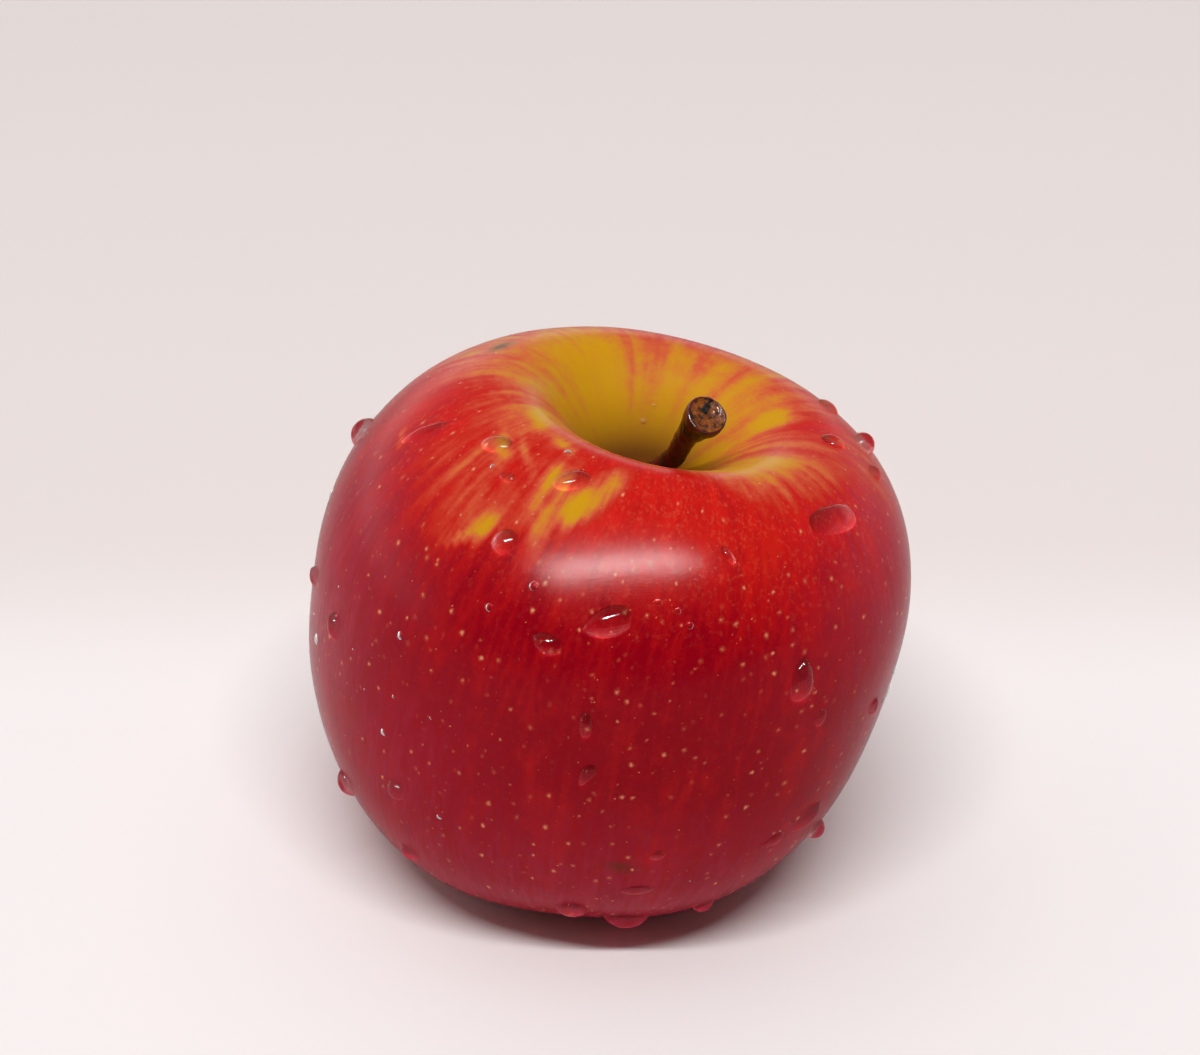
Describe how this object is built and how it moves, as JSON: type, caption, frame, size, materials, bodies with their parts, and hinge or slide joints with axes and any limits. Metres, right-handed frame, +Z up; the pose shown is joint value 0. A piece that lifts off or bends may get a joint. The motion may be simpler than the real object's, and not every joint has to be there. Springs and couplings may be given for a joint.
{
  "type": "red apple",
  "caption": "Whole ripe red apple with a bent stem in its cavity, a dried calyx underneath and drops of water on the skin; stands free on its base.",
  "frame": {"origin": "on the surface the apple rests on, below the middle of its bounding box", "axes": "+Z up, from the calyx basin to the stem cavity; +X to the side the apple leans to; the stem's broken end faces -Y"},
  "size_m": [0.0788, 0.0762, 0.068],
  "materials": {
    "apple_skin": "waxy natural skin, crimson blush in fine stripes over yellow green, pale dots",
    "stem_bark": "smooth dark brown bark with a broken amber end, wet",
    "dried_calyx": "matt, dry and fibrous",
    "water": "clear water drops"
  },
  "bodies": {
    "root": {"fruit": "apple_skin", "stem": "stem_bark", "sepal_1": "dried_calyx", "sepal_2": "dried_calyx", "sepal_3": "dried_calyx", "sepal_4": "dried_calyx", "sepal_5": "dried_calyx", "dried_stamens": "dried_calyx", "water_drop_01": "water", "water_drop_02": "water", "water_drop_03": "water", "water_drop_04": "water", "water_drop_05": "water", "water_drop_06": "water", "water_drop_07": "water", "water_drop_08": "water", "water_drop_09": "water", "water_drop_10": "water", "water_drop_11": "water", "water_drop_12": "water", "water_drop_13": "water", "water_drop_14": "water", "water_drop_15": "water", "water_drop_16": "water", "water_drop_17": "water", "water_drop_18": "water", "water_drop_19": "water", "water_drop_20": "water", "water_drop_21": "water", "water_drop_22": "water", "water_drop_23": "water", "water_drop_24": "water", "water_drop_25": "water", "water_drop_26": "water", "water_drop_27": "water", "water_drop_28": "water", "water_drop_29": "water", "water_drop_30": "water", "water_drop_31": "water", "water_drop_32": "water", "water_drop_33": "water", "water_drop_34": "water", "water_drop_35": "water", "water_drop_36": "water", "water_drop_37": "water", "water_drop_38": "water", "water_drop_39": "water", "water_drop_40": "water"}
  },
  "joints": []
}
